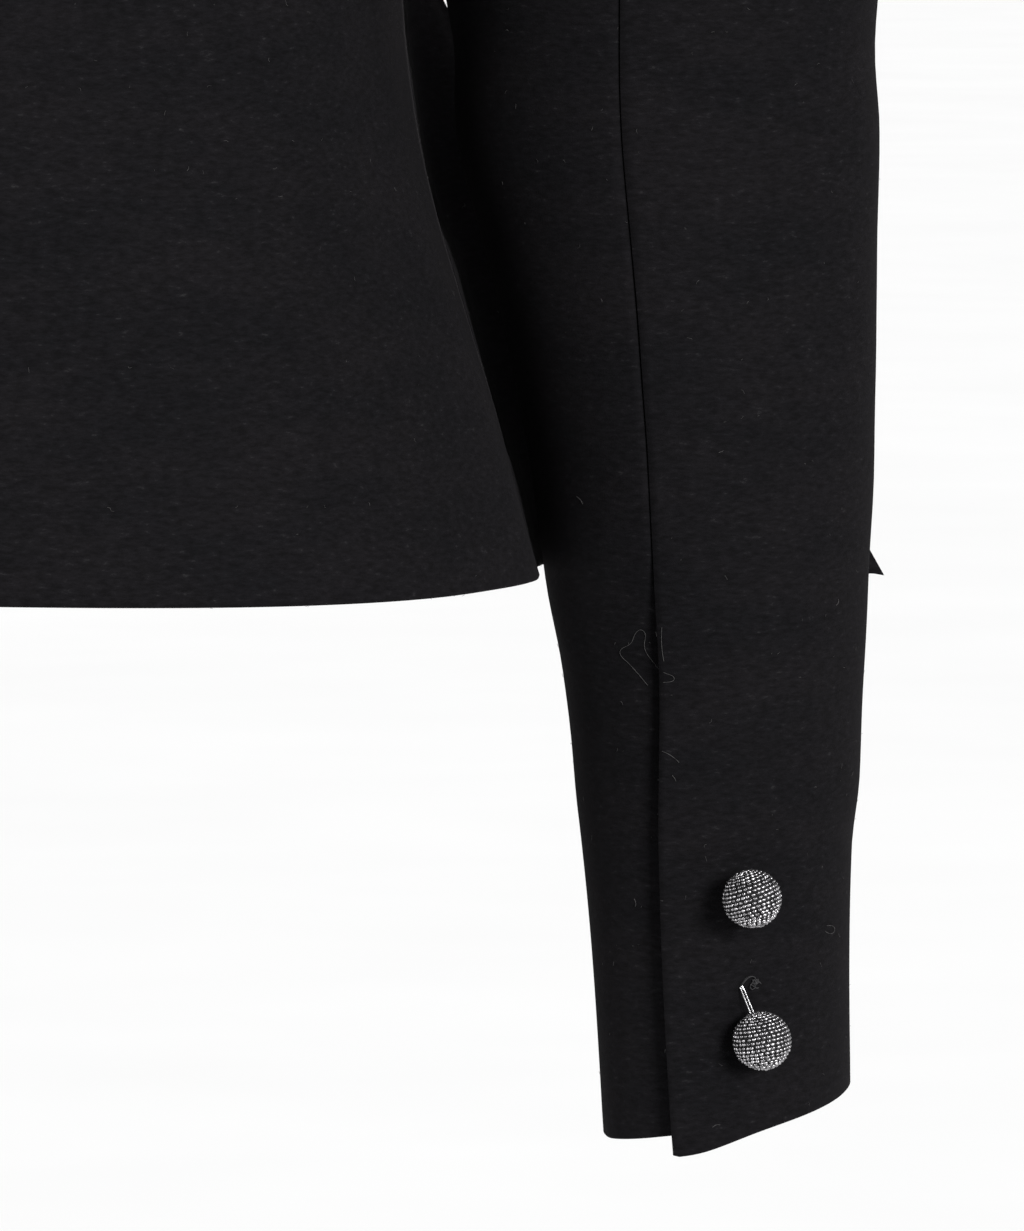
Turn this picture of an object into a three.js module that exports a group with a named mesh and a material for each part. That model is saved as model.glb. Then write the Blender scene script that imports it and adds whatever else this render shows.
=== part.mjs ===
// A cropped wool blazer, worn open on nobody: every piece is a thin wall at its real size.
// Millimetres, +Z up, the front faces -Y and the wearer's left is +X.
// The origin lies midway between the neck points of the two shoulder seams.
import * as THREE from "three";

// Driving sizes
const WALL = 2.0;
const SEAM_INSET = 0.18;
const LAY_GAP = 0.5;

const UNDERARM_Z = -206;
const SHOULDER_POINT = { x: 195, y: 0, z: -38 };
const NECK_POINT = { x: 68, y: 8, z: 0 };
const NAPE = { x: 0, y: 52, z: -15 };
const NECK_CENTRE_Y = -30;
const BACK_NECK_SHARE = 0.36;
const ARMHOLE_HALF_DEPTH = 31;
const ARMHOLE_Y = -2;
const BACK_SQUARENESS = 2.6;
const SHOULDER_ROUNDNESS = 1.6;
const HEM_Z = -512;
const FRONT_HEM_Z = -525;

const CLOTH = { color: 0x18181a, roughness: 0.92, metalness: 0.0 };
const BEADS = { color: 0x77777c, roughness: 0.32, metalness: 0.9 };
const WIRE = { color: 0xb9babd, roughness: 0.25, metalness: 1.0 };

// One row a level of the body, from hem to underarm. half is the half width at the side seam and
// back the depth behind it. The front runs from the side seam to its edge along a cubic curve
// with the two handles sideX, sideY and foldX, foldY, and ends at edgeX, edgeY.
const BODY_LEVELS = [
  { z: -530, half: 180, back: 126.5, sideX: 161, sideY: -44, foldX: 112, foldY: -150, edgeX: 208.5, edgeY: -188 },
  { z: -512, half: 177, back: 123, sideX: 158, sideY: -44, foldX: 111, foldY: -146, edgeX: 204.5, edgeY: -185 },
  { z: -478, half: 165.5, back: 115.8, sideX: 151, sideY: -45, foldX: 109, foldY: -137, edgeX: 180, edgeY: -171 },
  { z: -453, half: 156, back: 110.4, sideX: 145, sideY: -46, foldX: 107, foldY: -130, edgeX: 157, edgeY: -158 },
  { z: -429, half: 146, back: 104.8, sideX: 138, sideY: -47, foldX: 105, foldY: -124, edgeX: 139, edgeY: -147 },
  { z: -398, half: 136.5, back: 98.7, sideX: 130, sideY: -50, foldX: 102, foldY: -118, edgeX: 118, edgeY: -136 },
  { z: -350, half: 130.5, back: 95, sideX: 126, sideY: -54, foldX: 98, foldY: -118, edgeX: 93, edgeY: -127 },
  { z: -300, half: 135, back: 98, sideX: 134, sideY: -60, foldX: 102, foldY: -123, edgeX: 71, edgeY: -124 },
  { z: -250, half: 143, back: 102.5, sideX: 143, sideY: -62, foldX: 106, foldY: -126, edgeX: 56, edgeY: -124 },
  { z: -206, half: 150, back: 105, sideX: 150, sideY: -60, foldX: 106, foldY: -120, edgeX: 50, edgeY: -118 },
];

// One row a ring of the sleeve, from the armhole to below the cuff: the ring's inner and outer
// points in the plane of x and z, the y of its centre and its half depth along y.
const SLEEVE_RINGS = [
  { innerX: 150.6, innerZ: -205.5, outerX: 195.6, outerZ: -37.6, centreY: -2, halfY: 31 },
  { innerX: 150.7, innerZ: -207.5, outerX: 211, outerZ: -45, centreY: -3, halfY: 38 },
  { innerX: 150.8, innerZ: -209.5, outerX: 227, outerZ: -64, centreY: -5, halfY: 44 },
  { innerX: 151, innerZ: -213, outerX: 240, outerZ: -97, centreY: -8, halfY: 49 },
  { innerX: 151.2, innerZ: -219, outerX: 248, outerZ: -143, centreY: -11, halfY: 52 },
  { innerX: 151.5, innerZ: -230, outerX: 252, outerZ: -194, centreY: -15, halfY: 53.5 },
  { innerX: 149.5, innerZ: -256, outerX: 253, outerZ: -247, centreY: -22, halfY: 54 },
  { innerX: 144, innerZ: -302, outerX: 251, outerZ: -300, centreY: -34, halfY: 54.5 },
  { innerX: 134, innerZ: -350, outerX: 248.2, outerZ: -350, centreY: -52, halfY: 53 },
  { innerX: 133, innerZ: -388, outerX: 245.8, outerZ: -388, centreY: -58, halfY: 51.5 },
  { innerX: 138.5, innerZ: -419, outerX: 244, outerZ: -419, centreY: -61, halfY: 50.5 },
  { innerX: 151.5, innerZ: -471, outerX: 242.1, outerZ: -471, centreY: -64, halfY: 49.5 },
  { innerX: 156.1, innerZ: -517, outerX: 238.6, outerZ: -517, centreY: -68, halfY: 48.5 },
  { innerX: 159.8, innerZ: -543, outerX: 235.2, outerZ: -543, centreY: -74, halfY: 47.5 },
  { innerX: 160.8, innerZ: -575, outerX: 231.9, outerZ: -575, centreY: -80.5, halfY: 46.5 },
  { innerX: 162.3, innerZ: -606, outerX: 228.7, outerZ: -606, centreY: -86.5, halfY: 45.5 },
  { innerX: 163.5, innerZ: -647, outerX: 226.9, outerZ: -647, centreY: -92, halfY: 45.5 },
  { innerX: 163.9, innerZ: -688, outerX: 226.9, outerZ: -688, centreY: -97, halfY: 45.5 },
];

// The elbow seam's angle from straight back towards the body, in degrees, down the sleeve.
const ELBOW_SEAM = [
  { z: -206, angle: -12 },
  { z: -300, angle: -8 },
  { z: -388, angle: -5.7 },
  { z: -420, angle: -5.2 },
  { z: -458, angle: -3.7 },
  { z: -499, angle: -3.7 },
  { z: -525, angle: -3.8 },
  { z: -542, angle: -2.4 },
  { z: -571, angle: -0.5 },
  { z: -608, angle: 0 },
  { z: -638, angle: -1.4 },
  { z: -653, angle: -1.9 },
  { z: -661, angle: -3.6 },
  { z: -667, angle: -6.5 },
];
const FRONT_SEAM_ANGLE = 152;
const VENT_TOP_Z = -509;
const VENT_LAP_ANGLE = 16;
const VENT_STEP = 8;
const VENT_STAND_OFF = 1.6;

// The cuff's edge: the height of the hem at an angle from straight back, in degrees.
const TOP_CUFF = [
  { angle: -208, z: -653 },
  { angle: -150, z: -652.5 },
  { angle: -100, z: -655 },
  { angle: -59, z: -658.7 },
  { angle: -38, z: -661.5 },
  { angle: -14, z: -666.2 },
  { angle: -4, z: -667 },
];
const UNDER_CUFF = [
  { angle: -24, z: -660.5 },
  { angle: 0, z: -661.7 },
  { angle: 23, z: -663.5 },
  { angle: 64, z: -665 },
  { angle: 152, z: -653 },
];

// Ball buttons: where each sits on the sleeve, by its angle and height, and how far it stands off.
const BALL_RADIUS = 7.8;
const SLEEVE_BALLS = [
  { name: "upper", angle: -34.1, z: -596.6, standOff: 4.0 },
  { name: "lower", angle: -38.3, z: -635.1, standOff: 0.8 },
];
const SHANK = { ring: 1.3, wire: 0.35 };
// The lower ball hangs on a long loop of wire that has come out of the cloth.
const LOOSE_SHANK = {
  topAngle: -34.6, topZ: -621.2, topLift: 1.2, lowAngle: -38.8, lowZ: -627.6, lowLift: 3.4, halfWidth: 0.85, wire: 0.3,
};
const FRONT_BALL = { across: 0.93, up: 0.6, standOff: 4.0 };

// The lapel's width across the front, as a share of the front, from the break up to the gorge.
const LAPEL = { breakUp: 0.56, gorgeUp: 1.6, tipWidth: 0.5, lowWidth: 0.03, tipRise: 0.03, roll: 2.5 };
// The collar: how far down the back, across the shoulder and down the front its fall reaches.
const COLLAR = { backDrop: 0.2, shoulderAcross: 0.55, frontAcross: 0.6, gorgeUp: 1.64, stand: 30, gorgeStand: 6, ease: 3 };
// How far forward of the side the side seam swings below the underarm, as a share of the front.
const SIDE_SEAM_SWING = 0.2;

// Grid sizes: steps across and along each piece
const BACK_GRID = { across: 12, along: 20 };
const FRONT_GRID = { across: 12, along: 20 };
const TOP_SLEEVE_GRID = { across: 17, along: 28 };
const UNDER_SLEEVE_GRID = { across: 13, along: 28 };
const LAPEL_GRID = { across: 6, along: 12 };
const COLLAR_GRID = { across: 8, along: 24 };
const BALL_STEPS = { around: 16, down: 10 };

const point = (x, y, z) => new THREE.Vector3(x, y, z);
const mix = (a, b, share) => a + (b - a) * share;
const clamp01 = (value) => Math.min(1, Math.max(0, value));
const smooth = (value) => {
  const share = clamp01(value);
  return share * share * (3 - 2 * share);
};
const radians = THREE.MathUtils.degToRad;

// Reads a table by its first column: a smooth curve through every column's values.
function readTable(table, key, value) {
  const rising = table[table.length - 1][key] > table[0][key];
  const rows = rising ? table : [...table].reverse();
  const last = rows.length - 1;
  let index = 0;
  while (index < last - 1 && rows[index + 1][key] < value) index += 1;
  const from = rows[index];
  const to = rows[index + 1];
  const share = clamp01((value - from[key]) / (to[key] - from[key]));
  const before = rows[Math.max(0, index - 1)];
  const after = rows[Math.min(last, index + 2)];
  const row = {};
  for (const column of Object.keys(from)) {
    const span = to[key] - from[key];
    const slopeIn = ((to[column] - before[column]) / (to[key] - before[key])) * span;
    const slopeOut = ((after[column] - from[column]) / (after[key] - from[key])) * span;
    row[column] = hermite(from[column], to[column], slopeIn, slopeOut, share);
  }
  return row;
}

function hermite(from, to, slopeIn, slopeOut, share) {
  const two = share * share;
  const three = two * share;
  return (2 * three - 3 * two + 1) * from + (three - 2 * two + share) * slopeIn
    + (-2 * three + 3 * two) * to + (three - two) * slopeOut;
}

const roundRise = (share, roundness) => (1 - (1 - share) ** roundness) ** (1 / roundness);

// Body surface, for the wearer's left side. across runs from the centre back or the side seam,
// up from 0 at the hem through 1 at the underarm to 2 at the shoulder seam.
function backRow(level, across) {
  const turn = (across * Math.PI) / 2;
  const power = 2 / BACK_SQUARENESS;
  return { x: level.half * Math.sin(turn) ** power, y: level.back * Math.cos(turn) ** power };
}

function backTop(across) {
  if (across < BACK_NECK_SHARE) {
    const share = across / BACK_NECK_SHARE;
    return point(mix(NAPE.x, NECK_POINT.x, share), mix(NAPE.y, NECK_POINT.y, share ** 2), mix(NAPE.z, NECK_POINT.z, share ** 2.2));
  }
  return shoulderSeam((across - BACK_NECK_SHARE) / (1 - BACK_NECK_SHARE));
}

function shoulderSeam(share) {
  return point(
    mix(NECK_POINT.x, SHOULDER_POINT.x, share),
    mix(NECK_POINT.y, SHOULDER_POINT.y, share),
    mix(NECK_POINT.z, SHOULDER_POINT.z, share ** 1.15),
  );
}

const armholeDepth = (rise) => ARMHOLE_HALF_DEPTH * 2 * Math.sqrt(Math.max(0, rise * (1 - rise)));

const sideSwing = (up) => SIDE_SEAM_SWING * smooth((1 - up) / 0.4);

function backPoint(across, up) {
  if (up <= 1) {
    const reach = across * (1 + sideSwing(up));
    if (reach > 1) return frontSkin(reach - 1, up);
    const z = mix(HEM_Z, UNDERARM_Z, up);
    const row = backRow(readTable(BODY_LEVELS, "z", z), reach);
    return point(row.x, row.y, z);
  }
  const rise = up - 1;
  const row = backRow(readTable(BODY_LEVELS, "z", UNDERARM_Z), across);
  const top = backTop(across);
  const bulge = across ** 3 * (armholeDepth(rise) + ARMHOLE_Y * Math.sin(Math.PI * rise));
  return point(
    mix(row.x, top.x, rise),
    mix(top.y, row.y, roundRise(1 - rise, SHOULDER_ROUNDNESS)) + bulge,
    mix(UNDERARM_Z, top.z, rise),
  );
}

function frontRow(level, across) {
  const rest = 1 - across;
  const weights = [rest ** 3, 3 * rest ** 2 * across, 3 * rest * across ** 2, across ** 3];
  const xs = [level.half, level.sideX, level.foldX, level.edgeX];
  const ys = [0, level.sideY, level.foldY, level.edgeY];
  const sum = (values) => values.reduce((total, value, index) => total + value * weights[index], 0);
  return { x: sum(xs), y: sum(ys) };
}

// The front's skin from the side at 0 to the front edge at 1, below the underarm.
function frontSkin(reach, up) {
  const z = mix(mix(HEM_Z, FRONT_HEM_Z, reach ** 2), UNDERARM_Z, up);
  const row = frontRow(readTable(BODY_LEVELS, "z", z), reach);
  return point(row.x, row.y, z);
}

function frontPoint(across, up) {
  if (up <= 1) return frontSkin(mix(sideSwing(up), 1, across), up);
  const rise = up - 1;
  const row = frontRow(readTable(BODY_LEVELS, "z", UNDERARM_Z), across);
  const top = shoulderSeam(1 - across);
  const bulge = (1 - across) ** 3 * (ARMHOLE_Y * Math.sin(Math.PI * rise) - armholeDepth(rise));
  return point(
    mix(row.x, top.x, rise),
    mix(top.y, row.y, roundRise(1 - rise, SHOULDER_ROUNDNESS)) + bulge,
    mix(UNDERARM_Z, top.z, rise),
  );
}

// A surface's outward direction at a place, worked out from points close to it.
function outward(surface, across, up, sign) {
  const step = 0.004;
  const left = surface(Math.max(0, across - step), up);
  const right = surface(Math.min(1, across + step), up);
  const low = surface(across, Math.max(0, up - step));
  const high = surface(across, Math.min(2, up + step));
  return right.sub(left).cross(high.sub(low)).normalize().multiplyScalar(sign);
}

// Steps from 0 to 2 up a body panel, closer together towards the shoulder seam.
function bodySteps(along) {
  const steps = [];
  for (let index = 0; index <= along; index += 1) {
    const share = index / along;
    steps.push(share < 0.55 ? share / 0.55 : 1 + Math.sin(((share - 0.55) / 0.45) * (Math.PI / 2)));
  }
  return steps;
}

function makeGrid(across, rows, surface) {
  return rows.map((up) => Array.from({ length: across + 1 }, (_, index) => surface(index / across, up)));
}

// Draws a grid's borders in by a seam's share, so that neighbours stay apart.
function drawIn(grid, distance) {
  const lastRow = grid.length - 1;
  const lastColumn = grid[0].length - 1;
  const pull = (from, to) => from.addScaledVector(to.clone().sub(from).normalize(), distance);
  for (const row of grid) {
    pull(row[0], row[1]);
    pull(row[lastColumn], row[lastColumn - 1]);
  }
  for (let column = 0; column <= lastColumn; column += 1) {
    pull(grid[0][column], grid[1][column]);
    pull(grid[lastRow][column], grid[lastRow - 1][column]);
  }
  return grid;
}

// The slope along a line of points, true to the second order at its ends too.
function slope(at, index, last) {
  const sum = point(0, 0, 0);
  if (index === 0) return sum.addScaledVector(at(0), -3).addScaledVector(at(1), 4).sub(at(2));
  if (index === last) return sum.addScaledVector(at(last), 3).addScaledVector(at(last - 1), -4).add(at(last - 2));
  return sum.add(at(index + 1)).sub(at(index - 1));
}

// Each place's outward direction. flat(j, i) may name a direction that the place's must lie square to.
function gridNormals(grid, sign, flat) {
  const lastRow = grid.length - 1;
  const lastColumn = grid[0].length - 1;
  return grid.map((row, j) => row.map((_, i) => {
    const along = slope((index) => row[index], i, lastColumn);
    const up = slope((index) => grid[index][i], j, lastRow);
    const normal = along.cross(up).normalize().multiplyScalar(sign);
    const square = flat(j, i);
    if (square) normal.addScaledVector(square, -normal.dot(square)).normalize();
    return normal;
  }));
}

// A closed wall: the grid is its outer face, and the inner face lies one wall inside it.
function wallGeometry(grid, sign, flat = () => null, thickness = WALL) {
  const normals = gridNormals(grid, sign, flat);
  const rows = grid.length;
  const columns = grid[0].length;
  const vertices = [];
  grid.forEach((row) => row.forEach((spot) => vertices.push(spot.x, spot.y, spot.z)));
  grid.forEach((row, j) => row.forEach((spot, i) => {
    const inner = spot.clone().addScaledVector(normals[j][i], -thickness);
    vertices.push(inner.x, inner.y, inner.z);
  }));
  const offset = rows * columns;
  const faces = [];
  const quad = (a, b, c, d) => (sign > 0 ? faces.push(a, b, c, a, c, d) : faces.push(a, c, b, a, d, c));
  const at = (j, i) => j * columns + i;
  for (let j = 0; j < rows - 1; j += 1) {
    for (let i = 0; i < columns - 1; i += 1) {
      quad(at(j, i), at(j, i + 1), at(j + 1, i + 1), at(j + 1, i));
      quad(offset + at(j, i), offset + at(j + 1, i), offset + at(j + 1, i + 1), offset + at(j, i + 1));
    }
  }
  for (let i = 0; i < columns - 1; i += 1) {
    quad(at(0, i + 1), at(0, i), offset + at(0, i), offset + at(0, i + 1));
    quad(at(rows - 1, i), at(rows - 1, i + 1), offset + at(rows - 1, i + 1), offset + at(rows - 1, i));
  }
  for (let j = 0; j < rows - 1; j += 1) {
    quad(at(j, 0), at(j + 1, 0), offset + at(j + 1, 0), offset + at(j, 0));
    quad(at(j + 1, columns - 1), at(j, columns - 1), offset + at(j, columns - 1), offset + at(j + 1, columns - 1));
  }
  const geometry = new THREE.BufferGeometry();
  geometry.setAttribute("position", new THREE.Float32BufferAttribute(vertices, 3));
  geometry.setIndex(faces);
  return geometry;
}

// Sleeve surface: angle from straight back towards the body in degrees, down the table of rings.
function sleeveRing(down) {
  const last = SLEEVE_RINGS.length - 1;
  const index = Math.min(last - 1, Math.floor(down));
  const share = down - index;
  const rows = [-1, 0, 1, 2].map((step) => SLEEVE_RINGS[Math.min(last, Math.max(0, index + step))]);
  const ring = {};
  for (const column of Object.keys(SLEEVE_RINGS[0])) {
    const [before, from, to, after] = rows.map((row) => row[column]);
    ring[column] = hermite(from, to, (to - before) / 2, (after - from) / 2, share);
  }
  return ring;
}

function sleevePoint(angle, down, lift = 0) {
  const ring = sleeveRing(down);
  const turn = radians(angle);
  const middle = point((ring.innerX + ring.outerX) / 2, ring.centreY, (ring.innerZ + ring.outerZ) / 2);
  const half = point((ring.innerX - ring.outerX) / 2, 0, (ring.innerZ - ring.outerZ) / 2);
  const length = half.length();
  half.multiplyScalar((length + lift) / length);
  middle.addScaledVector(half, Math.sin(turn));
  middle.y += (ring.halfY + lift) * Math.cos(turn);
  return middle;
}

// The place down the table where a sleeve line reaches a height.
function downAtHeight(angle, z) {
  let low = 6;
  let high = SLEEVE_RINGS.length - 1;
  for (let step = 0; step < 30; step += 1) {
    const middle = (low + high) / 2;
    if (sleevePoint(angle, middle).z > z) low = middle;
    else high = middle;
  }
  return (low + high) / 2;
}

const seamAngle = (z) => readTable(ELBOW_SEAM, "z", Math.min(-206, Math.max(-667, z))).angle;

function topSleeveGrid() {
  const { across, along } = TOP_SLEEVE_GRID;
  const frontAngle = FRONT_SEAM_ANGLE - 360;
  const surface = (share, run) => {
    const roughDown = run * (SLEEVE_RINGS.length - 2);
    const seam = seamAngle(sleevePoint(0, roughDown).z);
    const angle = mix(seam, frontAngle, share);
    const hem = downAtHeight(angle, readTable(TOP_CUFF, "angle", angle).z);
    const down = run * hem;
    const spot = sleevePoint(angle, down);
    const open = smooth((VENT_TOP_Z - spot.z) / 120) * (1 - smooth((seam - angle) / 40));
    return sleevePoint(angle, down, VENT_STAND_OFF * open);
  };
  return drawIn(makeGrid(across, sleeveSteps(along), surface), SEAM_INSET);
}

function underSleeveGrid() {
  const { across, along } = UNDER_SLEEVE_GRID;
  const surface = (share, run) => {
    const roughDown = run * (SLEEVE_RINGS.length - 2);
    const height = sleevePoint(0, roughDown).z;
    const seam = seamAngle(height) - VENT_LAP_ANGLE * smooth((VENT_TOP_Z - VENT_STEP - height) / VENT_STEP);
    const angle = mix(seam, FRONT_SEAM_ANGLE, share);
    const hem = downAtHeight(angle, readTable(UNDER_CUFF, "angle", angle).z);
    const down = run * hem;
    const sink = smooth((VENT_TOP_Z - height) / VENT_STEP) * (1 - smooth((angle - seam) / 55));
    return sleevePoint(angle, down, -(WALL + LAY_GAP) * sink);
  };
  return drawIn(makeGrid(across, sleeveSteps(along), surface), SEAM_INSET);
}

function sleeveSteps(along) {
  return Array.from({ length: along + 1 }, (_, index) => index / along);
}

// A place on the front, moved out along the skin's direction.
function aboveFront(across, up, height) {
  return frontPoint(across, up).addScaledVector(outward(frontPoint, across, up, -1), height);
}

function aboveBack(across, up, height) {
  return backPoint(across, up).addScaledVector(outward(backPoint, across, up, -1), height);
}

// The lapel lies on the front from the roll line out, its top edge rising to the tip.
function lapelGrid() {
  const rows = sleeveSteps(LAPEL_GRID.along);
  const surface = (share, run) => {
    const width = mix(LAPEL.lowWidth, LAPEL.tipWidth, run ** 1.3);
    const up = mix(LAPEL.breakUp, LAPEL.gorgeUp + LAPEL.tipRise * share, run);
    const lift = LAY_GAP + WALL + LAPEL.roll * (1 - share) ** 2 * smooth(run * 4);
    return aboveFront(1 - width * share, up, lift);
  };
  const grid = makeGrid(LAPEL_GRID.across, rows, surface);
  grid.forEach((row) => row.reverse());
  return grid;
}

// Moves a place on the neckline towards the neck, so that the stand's wall clears the panels' edges.
function insideNeck(spot) {
  const inward = point(-spot.x, NECK_CENTRE_Y - spot.y, 0).normalize();
  return spot.addScaledVector(inward, WALL + LAY_GAP);
}

// Where the collar stands and where its fall ends, from 0 at the nape to 1 at the gorge.
function collarLine(run) {
  const height = LAY_GAP + WALL + COLLAR.ease * (1 - smooth(Math.abs(run - 0.5) * 4));
  if (run <= 0.5) {
    const turn = run * Math.PI;
    const across = COLLAR.shoulderAcross * Math.sin(turn);
    const up = 2 - COLLAR.backDrop * Math.cos(turn);
    return { base: insideNeck(backTop(BACK_NECK_SHARE * run * 2)), fall: aboveBack(across, up, height) };
  }
  const share = (run - 0.5) * 2;
  const up = mix(2, COLLAR.gorgeUp, share);
  const seam = 1 - (COLLAR.shoulderAcross - BACK_NECK_SHARE) / (1 - BACK_NECK_SHARE);
  const across = mix(seam, COLLAR.frontAcross, share);
  const base = insideNeck(aboveFront(1, up, share * (LAY_GAP + WALL)));
  return { base, fall: aboveFront(across, up, height) };
}

function collarGrid() {
  const rows = Array.from({ length: COLLAR_GRID.along + 1 }, (_, index) => (index / COLLAR_GRID.along) * 2 - 1);
  return makeGrid(COLLAR_GRID.across, rows, (across, signedRun) => {
    const run = Math.abs(signedRun);
    const { base, fall } = collarLine(run);
    const stand = mix(COLLAR.stand, COLLAR.gorgeStand, smooth(run * 1.15 - 0.15));
    const rise = point(0, -0.5 * smooth(run * 2 - 0.8), 1).normalize();
    const rest = 1 - across;
    const spot = base.clone().addScaledVector(rise, 0.8).multiplyScalar(rest ** 3);
    spot.addScaledVector(base.clone().addScaledVector(rise, stand * 1.3), 3 * rest ** 2 * across);
    spot.addScaledVector(fall.clone().addScaledVector(rise, stand * 1.2), 3 * rest * across ** 2);
    spot.addScaledVector(fall, across ** 3);
    if (signedRun < 0) spot.x *= -1;
    return spot;
  });
}

const cloth = () => new THREE.MeshStandardMaterial({ ...CLOTH, side: THREE.FrontSide });

function mirrored(geometry) {
  const copy = geometry.clone();
  copy.scale(-1, 1, 1);
  const index = copy.getIndex();
  for (let face = 0; face < index.count; face += 3) {
    const second = index.getX(face + 1);
    index.setX(face + 1, index.getX(face + 2));
    index.setX(face + 2, second);
  }
  return copy;
}

const blazer = new THREE.Group();

function addPiece(name, geometry, material) {
  const mesh = new THREE.Mesh(geometry, material);
  mesh.name = name;
  blazer.add(mesh);
}

function addPair(name, geometry, makeMaterial) {
  addPiece(`${name}_left`, geometry, makeMaterial());
  addPiece(`${name}_right`, mirrored(geometry), makeMaterial());
}

// Turns a piece made along +Z so that +Z points along a direction, and sets it in place.
function settle(geometry, place, direction) {
  geometry.applyQuaternion(new THREE.Quaternion().setFromUnitVectors(point(0, 0, 1), direction));
  geometry.translate(place.x, place.y, place.z);
  return geometry;
}

const metal = (finish) => () => new THREE.MeshStandardMaterial({ ...finish });

function sleeveOutward(angle, down) {
  const low = sleevePoint(angle, down);
  return sleevePoint(angle, down, 1).sub(low).normalize();
}

function addSleeveButtons() {
  for (const { name, angle, z, standOff } of SLEEVE_BALLS) {
    const down = downAtHeight(angle, z);
    const direction = sleeveOutward(angle, down);
    const seat = sleevePoint(angle, down);
    const centre = seat.clone().addScaledVector(direction, standOff + BALL_RADIUS);
    const ball = new THREE.SphereGeometry(BALL_RADIUS, BALL_STEPS.around, BALL_STEPS.down);
    addPair(`sleeve_button_${name}`, settle(ball, centre, direction), metal(BEADS));
    if (name === "upper") {
      const ring = new THREE.TorusGeometry(SHANK.ring, SHANK.wire, 6, 12);
      ring.rotateX(Math.PI / 2);
      addPair(`sleeve_shank_${name}`, settle(ring, seat.addScaledVector(direction, standOff / 2), direction), metal(WIRE));
    }
  }
  addPair("sleeve_shank_lower", looseShank(), metal(WIRE));
}

// A long loop of wire between the eyelet and the ball that hangs from it.
function looseShank() {
  const { topAngle, topZ, topLift, lowAngle, lowZ, lowLift, halfWidth, wire } = LOOSE_SHANK;
  const top = sleevePoint(topAngle, downAtHeight(topAngle, topZ), topLift);
  const down = downAtHeight(lowAngle, lowZ);
  const low = sleevePoint(lowAngle, down, lowLift);
  const length = low.clone().sub(top);
  const across = sleeveOutward(lowAngle, down).cross(length).normalize();
  const loop = new THREE.TorusGeometry(halfWidth, wire, 6, 18);
  loop.scale(1, length.length() / 2 / halfWidth, 1);
  const along = length.normalize();
  loop.applyMatrix4(new THREE.Matrix4().makeBasis(across, along, across.clone().cross(along)));
  const middle = low.add(top).multiplyScalar(0.5);
  return loop.translate(middle.x, middle.y, middle.z);
}

function addFrontButton() {
  const { across, up, standOff } = FRONT_BALL;
  const direction = outward(frontPoint, across, up, -1);
  const seat = frontPoint(across, up);
  const ball = new THREE.SphereGeometry(BALL_RADIUS, BALL_STEPS.around, BALL_STEPS.down);
  const centre = seat.clone().addScaledVector(direction, standOff + BALL_RADIUS);
  addPiece("front_button", settle(ball, centre, direction), metal(BEADS)());
  const ring = new THREE.TorusGeometry(SHANK.ring, SHANK.wire, 6, 12);
  ring.rotateX(Math.PI / 2);
  addPiece("front_shank", settle(ring, seat.addScaledVector(direction, standOff / 2), direction), metal(WIRE)());
}

const ACROSS_BODY = point(1, 0, 0);
const ACROSS_SHOULDER = point(0, 1, 0);
const ACROSS_ARMHOLE = point(SHOULDER_POINT.z - UNDERARM_Z, 0, 150 - SHOULDER_POINT.x).normalize();

const bodyRows = bodySteps(BACK_GRID.along);
const backGrid = drawIn(makeGrid(BACK_GRID.across, bodyRows, backPoint), SEAM_INSET);
addPair("back", wallGeometry(backGrid, -1, (j, i) => {
  if (i === 0) return ACROSS_BODY;
  if (i === BACK_GRID.across && bodyRows[j] >= 1) return ACROSS_ARMHOLE;
  return j === bodyRows.length - 1 && i > BACK_GRID.across * BACK_NECK_SHARE ? ACROSS_SHOULDER : null;
}), cloth);

const frontRows = bodySteps(FRONT_GRID.along);
const frontGrid = drawIn(makeGrid(FRONT_GRID.across, frontRows, frontPoint), SEAM_INSET);
addPair("front", wallGeometry(frontGrid, -1, (j, i) => {
  if (i === 0 && frontRows[j] >= 1) return ACROSS_ARMHOLE;
  return j === frontRows.length - 1 ? ACROSS_SHOULDER : null;
}), cloth);

const atArmhole = (j) => (j === 0 ? ACROSS_ARMHOLE : null);
addPair("top_sleeve", wallGeometry(topSleeveGrid(), 1, atArmhole), cloth);
addPair("under_sleeve", wallGeometry(underSleeveGrid(), -1, atArmhole), cloth);
addPair("lapel", wallGeometry(lapelGrid(), -1), cloth);
addPiece("collar", wallGeometry(collarGrid(), -1), cloth());
addSleeveButtons();
addFrontButton();

export default blazer;
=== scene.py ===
"""Looks of a cropped dark wool blazer: brushed cloth, sewn edges and cuffs with beaded ball buttons."""
import math
import random

import bmesh
import bpy
from mathutils import Matrix, Vector, noise


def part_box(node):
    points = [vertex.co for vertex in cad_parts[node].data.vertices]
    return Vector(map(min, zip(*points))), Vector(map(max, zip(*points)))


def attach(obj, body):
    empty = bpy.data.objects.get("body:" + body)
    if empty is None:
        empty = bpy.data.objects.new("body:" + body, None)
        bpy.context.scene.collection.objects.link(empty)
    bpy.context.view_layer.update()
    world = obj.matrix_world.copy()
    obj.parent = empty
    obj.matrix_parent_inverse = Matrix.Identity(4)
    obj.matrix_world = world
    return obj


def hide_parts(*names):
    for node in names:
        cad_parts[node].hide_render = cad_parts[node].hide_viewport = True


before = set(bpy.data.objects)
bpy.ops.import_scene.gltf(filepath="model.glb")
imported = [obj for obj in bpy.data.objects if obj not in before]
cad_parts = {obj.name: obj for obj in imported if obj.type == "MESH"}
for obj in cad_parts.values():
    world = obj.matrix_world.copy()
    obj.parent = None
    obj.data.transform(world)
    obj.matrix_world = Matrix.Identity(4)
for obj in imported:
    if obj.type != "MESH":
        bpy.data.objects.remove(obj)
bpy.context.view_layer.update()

MM = 0.001
BODY = "root"

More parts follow.
